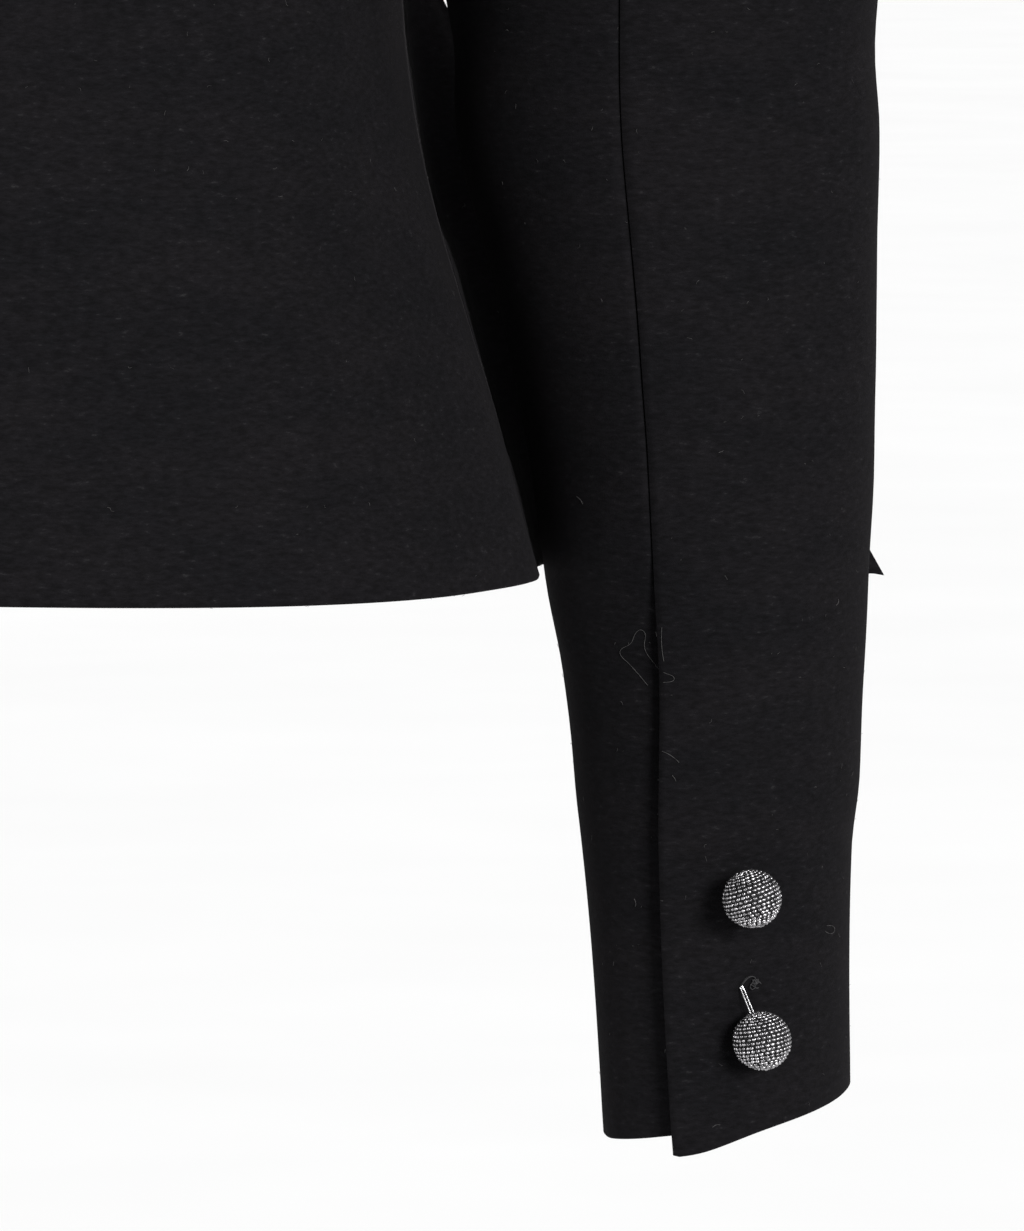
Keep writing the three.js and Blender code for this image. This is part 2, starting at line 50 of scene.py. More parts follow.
# The view that the blazer is shown in, and how far the camera stands away
VIEW_AZIMUTH = 200.0
VIEW_ELEVATION = 5.1
VIEW_DISTANCE = 3.0
MM_PER_PIXEL = 0.26
FRAME_LONG_SIDE_PX = 1231
SENSOR_MM = 36.0
CLIP_START = 0.05
CLIP_END = 40.0
# The aim: how far right of, and in front of, the middle of the shoulders it lies, and how low
AIM_RIGHT = 158.4 * MM
AIM_NEAR = 28.0 * MM
AIM_Z = -524.0 * MM

# The studio's light: a dim even surround, and three wide soft lights, the strongest a little right
# of the camera. Each is its turn to the right of the view and its height in degrees, its strength,
# and how wide it looks in degrees.
WORLD_STRENGTH = 0.15
STUDIO_LIGHTS = {
    "key": (28.0, 14.0, 5.6, 20.0),
    "left_fill": (-66.0, 24.0, 3.1, 34.0),
    "right_fill": (70.0, 20.0, 1.0, 26.0),
}

# The wool's noises: how each is stretched along the axes, its scale, detail and roughness
WOOL_SLUBS = ((0.36, 0.36, 1.0), 900.0, 5.0, 0.68)
WOOL_NAP = ((1.0, 1.0, 1.0), 1900.0, 3.0, 0.6)
WOOL_CLOUDS = ((0.55, 0.55, 1.3), 46.0, 4.0, 0.6)
# Its tones: near-black slubs, soft clouds that shade them, and where pale flecks show
WOOL_TONES = [(0.36, (0.0029, 0.0028, 0.0030)), (0.64, (0.0051, 0.0049, 0.0054))]
WOOL_CLOUD_TONES = [(0.38, (0.90, 0.90, 0.94)), (0.62, (1.11, 1.07, 1.10))]
WOOL_FLECKS = [(0.63, (0.0, 0.0, 0.0)), (0.74, (1.0, 1.0, 1.0))]
WOOL_FLECK_COLOR = (0.012, 0.0117, 0.0122, 1.0)
WOOL_BUMP = 0.5
WOOL_BUMP_HEIGHT = 0.00022
WOOL_SURFACE = {
    "Roughness": 0.95,
    "Specular IOR Level": 0.02,
    "Sheen Weight": 0.016,
    "Sheen Roughness": 0.45,
    "Sheen Tint": (0.75, 0.70, 0.74, 1.0),
}
BEAD_SURFACE = {"Metallic": 0.9, "Roughness": 0.22, "Coat Weight": 0.6, "Coat Roughness": 0.06}
WIRE_SURFACE = {"Metallic": 1.0, "Roughness": 0.18}
THREAD_SURFACE = {"Roughness": 0.8, "Specular IOR Level": 0.2}
FLOOR_SURFACE = {"Roughness": 0.9}
BEAD_TONES = [(0.35, (0.09, 0.088, 0.092)), (0.65, (0.42, 0.412, 0.425))]
WIRE_TONES = [(0.3, (0.42, 0.42, 0.43)), (0.7, (0.72, 0.72, 0.73))]
FLOOR_TONES = [(0.2, (0.90, 0.90, 0.90)), (0.8, (0.93, 0.93, 0.93))]

# The beaded balls: their size, the beads' size, the turn of the axis that they tilt about, each
# kind's tilt in degrees, and how unevenly the beads sit
BALL_RADIUS = 7.8 * MM
BEAD_LENGTH = 1.38 * MM
BEAD_WIDTH = 0.86 * MM
BEAD_ROW_PITCH = 1.02 * MM
CORE_RADIUS = BALL_RADIUS - 0.75 * BEAD_WIDTH
CORE_SEGMENTS = (32, 20)
BEAD_SEGMENTS = (8, 5)
BALL_TILT_AXIS = 20.0
LOWER_BALL_TILT = -11.0
BALL_TILT = -19.0
BEAD_SLIDE = 0.12
BEAD_LEAN = 0.08
BEAD_SINK = 0.012
BEAD_RISE = 0.014

# A panel's mesh: corners closer than this are one, edges sharper than this stay crisp, and faces
# narrower than this are the wall that a cut edge shows
MERGE_GAP = 0.02 * MM
FLAT_ANGLE = math.radians(40)
SKEW_ANGLE = math.radians(50)
SHARP_ANGLE = math.radians(50)
EDGE_CREASE = 0.75
CORNER_CREASE = 1.0
WALL_LIMIT = 2.6 * MM
ROUNDING_LEVELS = 2
# How far a panel's cut edge reaches over the seam's gap, elsewhere and at a sleeve's armhole
SEAM_REACH = 0.2 * MM
ARMHOLE_REACH = 0.4 * MM
# The back's halves meet at the middle: what lies closer than the first figure is on it, and what
# lies beyond the second stays in its place, in mm
MIDDLE_SEAM = (0.35, 1.1)

# Every sewn piece of cloth: its cut's width and length, and its flat area in square metres
CLOTH_CUTS = {
    "back": {"flat": (0.240, 0.540), "area": 0.113},
    "front": {"flat": (0.190, 0.545), "area": 0.073},
    "top_sleeve": {"flat": (0.205, 0.645), "area": 0.103},
    "under_sleeve": {"flat": (0.145, 0.575), "area": 0.068},
    "lapel": {"flat": (0.080, 0.280), "area": 0.0091},
    "collar": {"flat": (0.090, 0.420), "area": 0.0300},
}
# Soft folds in the body's cloth: turn from straight back in degrees and height in mm at both
# ends of the fold, how wide it is, and how far it stands out or sinks in, in mm
BODY_FOLDS = [
    (56, -330, 50, -520, 34, 3.2),
    (58, -345, 54, -478, 17, 0.8),
    (77, -350, 73, -520, 11, -0.9),
    (40, -385, 43, -520, 18, -0.9),
    (22, -350, 24, -520, 21, 1.4),
    (4, -335, 5, -520, 15, -1.0),
    (25, -112, 52, -196, 22, 1.3),
    (44, -158, 76, -222, 17, -1.5),
    (62, -268, 32, -252, 13, 1.0),
    (66, -300, 30, -288, 12, -0.9),
    (84, -328, 52, -318, 12, 0.8),
    (98, -232, 122, -262, 14, 1.0),
    (112, -330, 120, -520, 17, 1.3),
    (133, -365, 141, -520, 15, -1.2),
    (116, -160, 98, -222, 17, 1.5),
    (138, -130, 120, -205, 18, -1.1),
]
# Soft folds in a sleeve: turn from straight out towards the back, height, width and rise as above
SLEEVE_FOLDS = [
    (176, -356, 92, -332, 14, 1.5),
    (188, -382, 104, -368, 12, -1.7),
    (176, -408, 108, -402, 12, 1.2),
    (-62, -326, 16, -350, 16, 1.3),
    (-84, -358, -6, -382, 13, -1.4),
    (-70, -392, -20, -404, 13, 0.9),
    (58, -452, 102, -466, 13, 0.6),
    (104, -536, 62, -556, 17, -0.7),
    (52, -492, 84, -500, 15, -0.4),
    (72, -118, 112, -205, 19, 1.6),
    (98, -150, 150, -234, 17, -1.8),
    (130, -232, 60, -262, 18, 1.0),
    (-42, -112, -98, -206, 19, 1.4),
    (-92, -176, -150, -240, 17, -1.5),
    (28, -92, 34, -300, 26, 1.0),
    (4, -120, 2, -290, 22, -0.8),
    (-22, -400, -20, -640, 30, 1.5),
]
# The radius that turns a fold's angle into a width, in mm, for the body and for a sleeve
BODY_RADIUS = 120.0
SLEEVE_RADIUS = 48.0
# How strong a fold still is at its ends
FOLD_END = 0.35
# The left side's folds: the least and the most that they rise compared with the right side's, and
# how far they slide, in mm
LEFT_RISE = (0.75, 1.25)
LEFT_SLIDE = 9.0
# Small unevenness of the cloth: its height in mm, its scale, and how much it is squeezed upward
GRAIN_RISE = 0.35
GRAIN_SCALE = 34.0
GRAIN_SQUEEZE = 1.4
# Where the folds fade, each as a place and a distance in mm. At the cuff they start to fade at the
# place and end after the distance. Below the neck, beside the back's middle seam and round the
# armhole they start at the place and are full after the distance.
CUFF_FADE = (-570.0, 20.0)
NECK_FADE = (-85.0, 30.0)
MIDDLE_FADE = (1.0, 22.0)
ARMHOLE_FADE = (4.0, 26.0)
# How far the vent's edge stands off the underlap, in mm, how wide it lifts, and its height's ends
VENT_LIFT = (1.3, 7.0, -505.0, -560.0)
# Heights are compared in steps of this many mm. A sleeve's turns run up from this angle.
LEVEL_STEP = 8.0
TURN_START = -120.0
# The camera sees the body end at its side seam, because the front turns straight back there: fully
# behind the first place and not at all before the second, in mm. It starts below a height, is full
# after a distance, and stays so far inside the seam.
FRONT_FOLD_Y = (-105.0, -125.0)
FRONT_FOLD_FADE = (-230.0, 60.0)
FRONT_FOLD_GAP = 0.2 * MM
# A sleeve's middle: height, distance out from the blazer's middle and place front to back, in mm
SLEEVE_LINE = [
    (-38, 196, -2), (-206, 197, -12), (-300, 197, -34), (-388, 189, -58), (-471, 197, -64),
    (-543, 197, -74), (-606, 196, -86), (-688, 195, -97),
]
# The armhole's seam, seen from the front: its lowest and its highest point, out and up, in mm
ARMHOLE_LOW = (150.6, -205.5)
ARMHOLE_HIGH = (195.6, -37.6)
BODY_MIDDLE_Y = -20.0
# Below this height a sleeve's corners are the cuff's, which are softly rounded
CUFF_ABOVE = -400.0 * MM
# How far a lapel stands off the front that it lies on, beyond its solid's place, in mm
LAPEL_LIFT = 0.7
# The lower shank's loop of wire: half its width, the wire's own half width in mm, how far inside
# its solid's box its top lies (from behind and above) and its bottom (from outside, in front and
# below), how far below its top it is at full width, then where it is narrower and to what share,
# and the way that it faces
LOOP_HALF_WIDTH = 0.45 * MM
LOOP_WIRE_RADIUS = 0.2
LOOP_TOP_INSET = (0.7 * MM, 1.2 * MM)
LOOP_BOTTOM_INSET = (1.1 * MM, 2.0 * MM, 0.2 * MM)
LOOP_WIDE = 1.4 * MM
LOOP_NARROW = (0.4 * MM, 0.8)
LOOP_FACING = (0.77, 0.64)
# The thread that holds the loop: its arch's points across, up and out from the loop's top, in mm,
# and whether each strand is shifted there. Then its small curls and how far each strays.
KNOT_THREAD_RADIUS = 0.13
KNOT_ARCH = [
    (0.0, -0.4, -0.6, False), (0.0, 0.6, 0.0, True), (1.4, 1.7, 0.0, True), (3.0, 1.9, 0.0, True),
    (4.4, 0.9, 0.0, True), (4.9, -0.5, -0.5, False),
]
KNOT_STRANDS = 4
KNOT_STRAND_PITCH = 0.25
KNOT_STRAND_RISE = 0.2
KNOT_MIDDLE = (4.1, -0.3, 0.5)
KNOT_CURLS = 7
KNOT_CURL_POINTS = 7
KNOT_CURL_STEP = 0.85
KNOT_CURL_RADIUS = (0.45, 0.95)
KNOT_CURL_STRAY = (0.9, 0.8)
KNOT_CURL_DEPTH = (-0.1, 0.6)
# Specks of lint: one is tried for so many faces of the cloth. Their length, thickness and height
# over the cloth are in mm, and the bend is in radians at each of their steps.
SPECK_SHARE = 24
SPECK_STEPS = 3
SPECK_LENGTH = (0.3, 1.5)
SPECK_BEND = 0.9
SPECK_RADIUS = 0.04
SPECK_HEIGHT = 0.12
SPECK_CLIMB = 0.05
# The loose thread and fibres: their thickness and height over the cloth, in mm
FIBRE_RADIUS = 0.065
FIBRE_HEIGHT = 0.3
# The floor lies below the cuffs
FLOOR_Z = -1.15
FLOOR_SIZE = 30.0


def clamp(value, low=0.0, high=1.0):
    return max(low, min(high, value))


def smooth(value):
    share = clamp(value)
    return share * share * (3 - 2 * share)


def kind_of(node):
    """A node's name without its side."""
    return node.replace("_left", "").replace("_right", "")


def side_of(spot):
    """-1 on the wearer's right and 1 on the wearer's left."""
    return -1 if spot.x < 0 else 1


# Materials


def shader(name):
    """A new node material, with a short way to add nodes and to join them."""
    material = bpy.data.materials.new(name)
    material.use_nodes = True
    tree = material.node_tree
    principled = tree.nodes["Principled BSDF"]

    def add(kind, **settings):
        node = tree.nodes.new(kind)
        for key, value in settings.items():
            if key in node.inputs:
                node.inputs[key].default_value = value
            else:
                setattr(node, key, value)
        return node

    return material, principled, add, tree.links.new


def stretched_noise(add, join, stretch, scale, detail=4.0, rough=0.55):
    """Noise on object coordinates, stretched along the three axes."""
    place = add("ShaderNodeTexCoord")
    turn = add("ShaderNodeMapping")
    turn.inputs["Scale"].default_value = stretch
    grain = add("ShaderNodeTexNoise", Scale=scale, Detail=detail, Roughness=rough)
    join(place.outputs["Object"], turn.inputs["Vector"])
    join(turn.outputs["Vector"], grain.inputs["Vector"])
    return grain.outputs["Fac"]


def ramp(add, join, source, stops):
    """Colours that follow a value, from (position, colour) pairs."""
    node = add("ShaderNodeValToRGB")
    while len(node.color_ramp.elements) > len(stops):
        node.color_ramp.elements.remove(node.color_ramp.elements[-1])
    while len(node.color_ramp.elements) < len(stops):
        node.color_ramp.elements.new(1.0)
    for element, (position, color) in zip(node.color_ramp.elements, stops):
        element.position = position
        element.color = (*color, 1.0)
    join(source, node.inputs["Fac"])
    return node.outputs["Color"]


def set_surface(principled, surface):
    """Each named socket of the shader gets its plain value."""
    for socket, value in surface.items():
        principled.inputs[socket].default_value = value


def wool_material():
    """Brushed near-black wool: short nap, fine slubs that run round the body, light flecks."""
    material, principled, add, join = shader("brushed_wool")
    slubs = stretched_noise(add, join, *WOOL_SLUBS)
    nap = stretched_noise(add, join, *WOOL_NAP)
    clouds = stretched_noise(add, join, *WOOL_CLOUDS)

    base = ramp(add, join, slubs, WOOL_TONES)
    flecks = ramp(add, join, slubs, WOOL_FLECKS)
    warm = ramp(add, join, clouds, WOOL_CLOUD_TONES)
    tinted = add("ShaderNodeMix", data_type="RGBA", blend_type="MULTIPLY")
    tinted.inputs[0].default_value = 1.0
    join(base, tinted.inputs[6])
    join(warm, tinted.inputs[7])
    flecked = add("ShaderNodeMix", data_type="RGBA", blend_type="MIX")
    join(flecks, flecked.inputs[0])
    join(tinted.outputs[2], flecked.inputs[6])
    flecked.inputs[7].default_value = WOOL_FLECK_COLOR
    join(flecked.outputs[2], principled.inputs["Base Color"])

    heights = add("ShaderNodeMath", operation="ADD")
    join(slubs, heights.inputs[0])
    join(nap, heights.inputs[1])
    bump = add("ShaderNodeBump", Strength=WOOL_BUMP, Distance=WOOL_BUMP_HEIGHT)
    join(heights.outputs[0], bump.inputs["Height"])
    join(bump.outputs["Normal"], principled.inputs["Normal"])
    set_surface(principled, WOOL_SURFACE)
    return material


def speckled_material(name, scale, detail, stops, surface):
    """A material with one colour that varies a little from place to place."""
    material, principled, add, join = shader(name)
    tone = stretched_noise(add, join, (1.0, 1.0, 1.0), scale, detail)
    join(ramp(add, join, tone, stops), principled.inputs["Base Color"])
    set_surface(principled, surface)
    return material


def thread_material(name, dark, light):
    """Matt sewing thread or lint, a little lighter here and there."""
    return speckled_material(name, 900.0, 2.0, [(0.3, dark), (0.7, light)], THREAD_SURFACE)


WOOL = wool_material()
# Dark silver glass beads, uneven from bead to bead, and bright wire
BEADS = speckled_material("dark_silver_beads", 700.0, 1.0, BEAD_TONES, BEAD_SURFACE)
WIRE = speckled_material("bright_wire", 500.0, 2.0, WIRE_TONES, WIRE_SURFACE)
THREAD = thread_material("black_thread", (0.006, 0.006, 0.007), (0.030, 0.029, 0.030))
LINT = thread_material("grey_lint", (0.016, 0.0155, 0.016), (0.052, 0.050, 0.050))
BALL_CORE = thread_material("ball_core", (0.002, 0.002, 0.002), (0.006, 0.006, 0.007))


# Pieces


def new_piece(name, mesh, material):
    """A visible piece of this mesh, in one material, that rides on the body."""
    piece = bpy.data.objects.new(name, mesh)
    bpy.context.scene.collection.objects.link(piece)
    piece.data.materials.clear()
    piece.data.materials.append(material)
    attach(piece, BODY)
    return piece


def shade_smooth(mesh):
    for face in mesh.polygons:
        face.use_smooth = True


def finished_mesh(name, sculpt):
    """A mesh made from a bmesh, which ends here."""
    mesh = bpy.data.meshes.new(name)
    sculpt.to_mesh(mesh)
    sculpt.free()
    return mesh


def merged_copy(node):
    """A bmesh of a CAD node's solid, its doubles merged and its triangles joined to quads."""
    mesh = bmesh.new()
    mesh.from_mesh(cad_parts[node].data)
    bmesh.ops.remove_doubles(mesh, verts=mesh.verts, dist=MERGE_GAP)
    bmesh.ops.join_triangles(
        mesh, faces=mesh.faces, angle_face_threshold=FLAT_ANGLE,
        angle_shape_threshold=SKEW_ANGLE, cmp_seam=False, cmp_sharp=False, cmp_uvs=False,
        cmp_vcols=False, cmp_materials=False,
    )
    return mesh


def close_seams(sculpt, crease, kind):
    """The cut edges of a panel reach over half the seam's gap, so that no light shows through.
    A sleeve's edges do so at the armhole only."""
    moves = {}
    for face in sculpt.faces:
        hard = sum(1 for edge in face.edges if edge[crease] > 0)
        if hard >= 2 and min(edge.calc_length() for edge in face.edges) < WALL_LIMIT:
            for vertex in face.verts:
                moves.setdefault(vertex, []).append(face.normal.copy())
    for vertex, normals in moves.items():
        reach = SEAM_REACH
        if "sleeve" in kind:
            at_armhole = armhole_fade(abs(vertex.co.x) / MM, vertex.co.z / MM) == 0
            reach = ARMHOLE_REACH if at_armhole else 0.0
        vertex.co += sum(normals, Vector()).normalized() * reach


def on_line(height, line):
    """A sleeve's middle at this height, in mm."""
    for upper, lower in zip(line, line[1:]):
        if height >= lower[0]:
            share = clamp((upper[0] - height) / (upper[0] - lower[0]))
            return upper[1] + share * (lower[1] - upper[1]), upper[2] + share * (lower[2] - upper[2])
    return line[-1][1], line[-1][2]


def fold_rise(folds, turn, height, radius, side):
    """How far the folds lift the cloth there, in mm. The left side's folds differ a little."""
    total = 0.0
    for index, (turn_a, high_a, turn_b, high_b, width, rise) in enumerate(folds):
        uneven = 1.0
        slide = 0.0
        if side > 0:
            uneven = LEFT_RISE[0] + (LEFT_RISE[1] - LEFT_RISE[0]) * ((index * 7) % 5) / 4
            slide = LEFT_SLIDE * math.sin(index * 2.4)
        arc = math.radians(turn - turn_a) * radius
        along_x = math.radians(turn_b - turn_a) * radius
        along_z = high_b - high_a
        high = height - high_a - slide
        length = max(along_x * along_x + along_z * along_z, 1.0)
        nearest = clamp((arc * along_x + high * along_z) / length)
        gap = math.hypot(arc - nearest * along_x, high - nearest * along_z)
        fade = FOLD_END + (1.0 - FOLD_END) * math.sin(math.pi * clamp(0.1 + 0.8 * nearest))
        total += uneven * rise * fade * math.exp(-((gap / width) ** 2))
    return total


def armhole_fade(out_mm, high_mm):
    """0 at the armhole's seam and 1 well away from it, so that its two sides stay together."""
    along = (ARMHOLE_HIGH[0] - ARMHOLE_LOW[0], ARMHOLE_HIGH[1] - ARMHOLE_LOW[1])
    offset = (out_mm - ARMHOLE_LOW[0], high_mm - ARMHOLE_LOW[1])
    share = clamp((offset[0] * along[0] + offset[1] * along[1]) / (along[0] ** 2 + along[1] ** 2))
    gap = math.hypot(offset[0] - share * along[0], offset[1] - share * along[1])
    return smooth((gap - ARMHOLE_FADE[0]) / ARMHOLE_FADE[1])


def relieved(spot, kind):
    """A point of the cloth, in metres, moved by the folds and by the cloth's slight unevenness."""
    side = side_of(spot)
    out_mm = abs(spot.x) / MM
    back_mm = spot.y / MM
    high_mm = spot.z / MM
    if "sleeve" in kind:
        middle = on_line(high_mm, SLEEVE_LINE)
        arm = Vector((out_mm - middle[0], back_mm - middle[1], 0))
        turn = math.degrees(math.atan2(arm.y, arm.x))
        turns = [turn, turn + 360] if turn < 0 else [turn, turn - 360]
        rise = sum(fold_rise(SLEEVE_FOLDS, each, high_mm, SLEEVE_RADIUS, side) for each in turns)
        calm = 1.0 - smooth((CUFF_FADE[0] - high_mm) / CUFF_FADE[1])
    else:
        arm = Vector((out_mm, back_mm - BODY_MIDDLE_Y, 0))
        turn = math.degrees(math.atan2(arm.x, arm.y))
        rise = fold_rise(BODY_FOLDS, turn, high_mm, BODY_RADIUS, side)
        calm = smooth((NECK_FADE[0] - high_mm) / NECK_FADE[1])
        calm *= smooth((out_mm - MIDDLE_FADE[0]) / MIDDLE_FADE[1]) if back_mm > 0 else 1.0
    grain = noise.noise(Vector((spot.x, spot.y, spot.z * GRAIN_SQUEEZE)) * GRAIN_SCALE)
    rise = calm * (rise + GRAIN_RISE * grain) * armhole_fade(out_mm, high_mm)
    if kind == "lapel":
        rise += LAPEL_LIFT
    arm.normalize()
    return spot + Vector((side * arm.x, arm.y, 0)) * rise * MM


def rightward(spot):
    """How far to the side a point lies as the camera sees its side of the blazer, in metres."""
    azimuth = math.radians(VIEW_AZIMUTH)
    return -abs(spot.x) * math.cos(azimuth) + spot.y * math.sin(azimuth)


def tuck_behind_seam(front, back):
    """The front's side turns back from the side seam, so that the seam is the body's edge."""
    step = LEVEL_STEP * MM
    reach = {}
    for vertex in back.data.vertices:
        level = int(round(vertex.co.z / step))
        reach[level] = max(reach.get(level, -1.0), rightward(vertex.co))
    for vertex in front.data.vertices:
        share = vertex.co.z / step
        level = int(math.floor(share))
        if level not in reach or level + 1 not in reach:
            continue
        limit = reach[level] + (share - level) * (reach[level + 1] - reach[level]) - FRONT_FOLD_GAP
        beyond = rightward(vertex.co) - limit
        weight = smooth((vertex.co.y / MM - FRONT_FOLD_Y[1]) / (FRONT_FOLD_Y[0] - FRONT_FOLD_Y[1]))
        weight *= smooth((FRONT_FOLD_FADE[0] - vertex.co.z / MM) / FRONT_FOLD_FADE[1])
        if beyond > 0 and weight > 0:
            turned_in = beyond * weight / abs(math.cos(math.radians(VIEW_AZIMUTH)))
            vertex.co.x -= side_of(vertex.co) * turned_in


def round_sleeve(spot):
    """The way from a sleeve's middle to a point, both in mm, with its turn and its level."""
    middle = on_line(spot.z, SLEEVE_LINE)
    arm = Vector((abs(spot.x) - middle[0], spot.y - middle[1], 0))
    turn = math.degrees(math.atan2(arm.y, arm.x))
    return arm, turn if turn > TURN_START else turn + 360, int(round(spot.z / LEVEL_STEP))


def lift_vent(piece):
    """The top sleeve's edge stands a little off the underlap along the open vent."""
    rise, width, start, full = VENT_LIFT
    edge = {}
    for vertex in piece.data.vertices:
        arm, turn, level = round_sleeve(vertex.co / MM)
        edge[level] = max(edge.get(level, -180.0), turn)
    for vertex in piece.data.vertices:
        spot = vertex.co / MM
        arm, turn, level = round_sleeve(spot)
        gap = math.radians(edge[level] - turn) * arm.length
        amount = rise * math.exp(-((gap / width) ** 2)) * smooth((start - spot.z) / (start - full))
        arm.normalize()
        vertex.co += Vector((side_of(vertex.co) * arm.x, arm.y, 0)) * amount * MM


def settled(piece, kind):
    """The piece's rounded mesh, made final, with its folds in it."""
    graph = bpy.context.evaluated_depsgraph_get()
    mesh = bpy.data.meshes.new_from_object(piece.evaluated_get(graph))
    piece.modifiers.clear()
    piece.data = mesh
    if kind != "collar":
        for vertex in mesh.vertices:
            vertex.co = relieved(vertex.co, kind)
    if kind == "back":
        for vertex in mesh.vertices:
            gap = abs(vertex.co.x) / MM
            vertex.co.x *= clamp((gap - MIDDLE_SEAM[0]) / (MIDDLE_SEAM[1] - MIDDLE_SEAM[0]))
    shade_smooth(mesh)


def cloth_piece(node, kind):
    """A sewn panel: its solid's wall, smoothed, with its cut edges kept crisp and softly rounded."""
    name = f"{node}_cloth"
    sculpt = merged_copy(node)
    crease = sculpt.edges.layers.float.new("crease_edge")
    for edge in sculpt.edges:
        if len(edge.link_faces) == 2 and edge.calc_face_angle(0.0) > SHARP_ANGLE:
            edge[crease] = EDGE_CREASE
    corner = sculpt.verts.layers.float.new("crease_vert")
    for vertex in sculpt.verts:
        at_cuff = "sleeve" in kind and vertex.co.z < CUFF_ABOVE
        if not at_cuff and sum(1 for edge in vertex.link_edges if edge[crease] > 0) >= 3:
            vertex[corner] = CORNER_CREASE
    if kind != "lapel":
        close_seams(sculpt, crease, kind)
    piece = new_piece(name, finished_mesh(name, sculpt), WOOL)
    rounding = piece.modifiers.new("rounding", "SUBSURF")
    rounding.levels = ROUNDING_LEVELS
    rounding.render_levels = ROUNDING_LEVELS
    settled(piece, kind)
    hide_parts(node)
    return piece


def make_cloth():
    """Every panel of cloth by its node's name."""
    pieces = {}
    for node in sorted(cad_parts):
        if kind_of(node) in CLOTH_CUTS:
            pieces[node] = cloth_piece(node, kind_of(node))
    for side in ("left", "right"):
        tuck_behind_seam(pieces[f"front_{side}"], pieces[f"back_{side}"])
        lift_vent(pieces[f"top_sleeve_{side}"])
    for node, piece in pieces.items():
        side = "left" if node.endswith("left") else "right"
    return pieces


def ball_core(name, centre):
    """The dark ball that the beads are sewn on."""
    core = bmesh.new()
    across, along = CORE_SEGMENTS
    bmesh.ops.create_uvsphere(core, u_segments=across, v_segments=along, radius=CORE_RADIUS)
    bmesh.ops.translate(core, verts=core.verts, vec=centre)
    piece = new_piece(name, finished_mesh(name, core), BALL_CORE)
    shade_smooth(piece.data)
    return piece


def beaded_ball(node, tilt):
    """Rows of small beads sewn round a dark core, from pole to pole, tilted a little."""
    low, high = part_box(node)
    centre = (Vector(low) + Vector(high)) / 2
    axis = math.radians(BALL_TILT_AXIS)
    turn = Matrix.Rotation(math.radians(tilt), 4, Vector((math.sin(axis), -math.cos(axis), 0)))
    rng = random.Random(node)
    name = node.replace("button", "ball")
    core_piece = ball_core(f"{name}_core", centre)

    bead = bmesh.new()
    across, along = BEAD_SEGMENTS
    bmesh.ops.create_uvsphere(bead, u_segments=across, v_segments=along, radius=BEAD_WIDTH / 2)
    bead_mesh = finished_mesh("one_bead", bead)
    beads = bmesh.new()
    reach = BALL_RADIUS - BEAD_WIDTH / 2
    rows = int(math.pi * reach / BEAD_ROW_PITCH)
    for row in range(rows):
        lean = math.pi * (row + 0.5) / rows
        ring = reach * math.sin(lean)
        count = max(1, int(2 * math.pi * ring / BEAD_LENGTH))
        start = rng.uniform(0, 2 * math.pi)
        for index in range(count):
            slide = rng.uniform(-BEAD_SLIDE, BEAD_SLIDE)
            angle = start + 2 * math.pi * (index + slide) / count
            spot = Vector((ring * math.cos(angle), ring * math.sin(angle), reach * math.cos(lean)))
            spot *= 1.0 + rng.uniform(-BEAD_SINK, BEAD_RISE)
            heading = angle + math.pi / 2 + rng.uniform(-BEAD_LEAN, BEAD_LEAN)
            shape = (
                Matrix.Translation(centre) @ turn @ Matrix.Translation(spot)
                @ Matrix.Rotation(heading, 4, "Z")
                @ Matrix.Diagonal((BEAD_LENGTH / BEAD_WIDTH, 1.0, 1.0, 1.0))
            )
            sewn_on = bead_mesh.copy()
            sewn_on.transform(shape)
            beads.from_mesh(sewn_on)
            bpy.data.meshes.remove(sewn_on)
    piece = new_piece(name, finished_mesh(name, beads), BEADS)
    shade_smooth(piece.data)
    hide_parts(node)
    core_piece.parent = piece


def seen_on(pieces, right_mm, up_mm):
    """The place on these pieces that the camera sees so far right of and above its aim, with
    the surface's direction there."""
    azimuth = math.radians(VIEW_AZIMUTH)
    across = Vector((math.cos(azimuth), math.sin(azimuth), 0))
    away = view_direction()
    upward = away.cross(across).normalized()
    start = aim_point() + away * VIEW_DISTANCE
    target = aim_point() + across * right_mm * MM + upward * up_mm * MM
    best = None
    for piece in pieces:
        hit, spot, facing, face = piece.ray_cast(start, (target - start).normalized())
        if hit and (best is None or (spot - start).length < (best[0] - start).length):
            best = (spot, facing)
    return best


def strand(name, routes, radius_mm, material, sides=1, steps=4):
    """Thin round threads, each along its route of points, as one mesh. More sides make them
    rounder, and more steps make them follow their route more smoothly."""
    data = bpy.data.curves.new(name, "CURVE")
    data.dimensions = "3D"
    data.bevel_depth = radius_mm * MM
    data.bevel_resolution = sides
    data.use_fill_caps = True
    data.resolution_u = steps
    for route in routes:
        spline = data.splines.new("NURBS")
        spline.points.add(len(route) - 1)
        for point, spot in zip(spline.points, route):
            point.co = (*spot, 1.0)
        spline.order_u = 3
        spline.use_endpoint_u = True
    holder = bpy.data.objects.new(f"{name}_curve", data)
    mesh = bpy.data.meshes.new_from_object(holder)
    bpy.data.objects.remove(holder)
    piece = new_piece(name, mesh, material)
    shade_smooth(mesh)
    return piece


